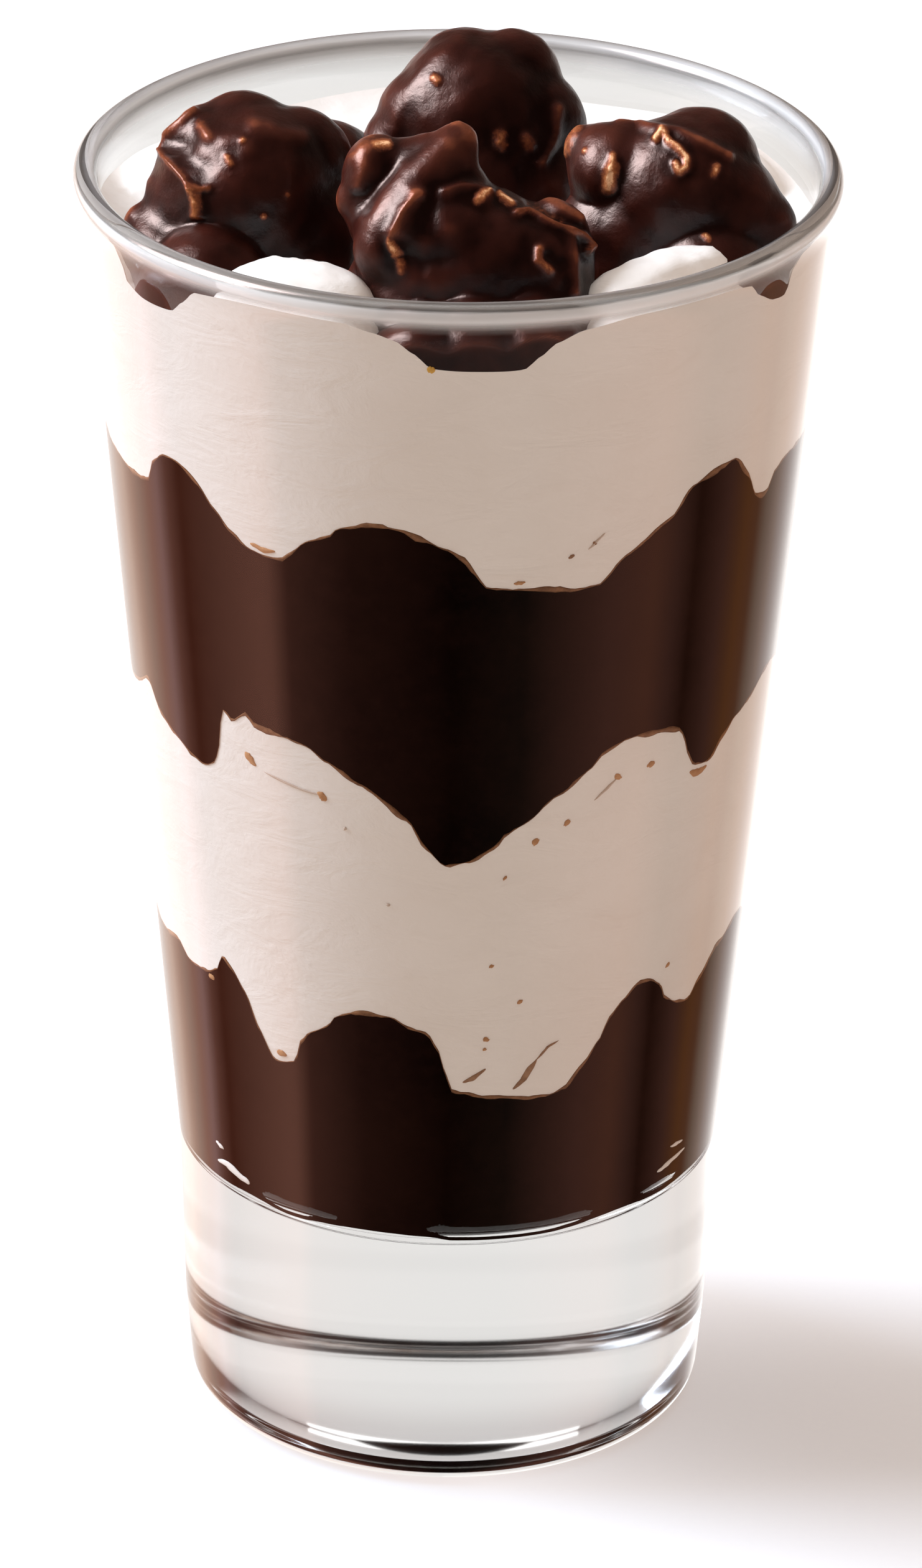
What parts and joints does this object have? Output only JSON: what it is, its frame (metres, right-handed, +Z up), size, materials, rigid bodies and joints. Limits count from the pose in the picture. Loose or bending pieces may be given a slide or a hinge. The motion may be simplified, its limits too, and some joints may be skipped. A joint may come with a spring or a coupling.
{
  "type": "ice cream sundae in a tall glass",
  "caption": "Tall thick-based glass filled with alternating dark chocolate and cream layers, topped with dollops of cream and chocolate-coated nut clusters.",
  "frame": {"origin": "centre of the glass's footprint, on the surface that it stands on", "axes": "+Z up along the glass's axis, -Y towards the usual viewer, +X to the viewer's right"},
  "size_m": [0.088, 0.088, 0.1706],
  "materials": {
    "clear_glass": "clear, polished, colourless",
    "chocolate": "dark chocolate, soft satin where it meets the glass",
    "cream": "smooth dairy cream, faintly glossy",
    "coated_nuts": "dark chocolate coating over chopped nuts, satin gloss"
  },
  "bodies": {
    "root": {"glass": "clear_glass", "chocolate_layer_lower": "chocolate", "cream_layer_lower": "cream", "chocolate_layer_upper": "chocolate", "cream_layer_upper": "cream", "cluster_front": "coated_nuts", "cluster_left": "coated_nuts", "cluster_right": "coated_nuts", "cluster_back": "coated_nuts", "cluster_rear_left": "coated_nuts", "cluster_rear_right": "coated_nuts"}
  },
  "joints": []
}
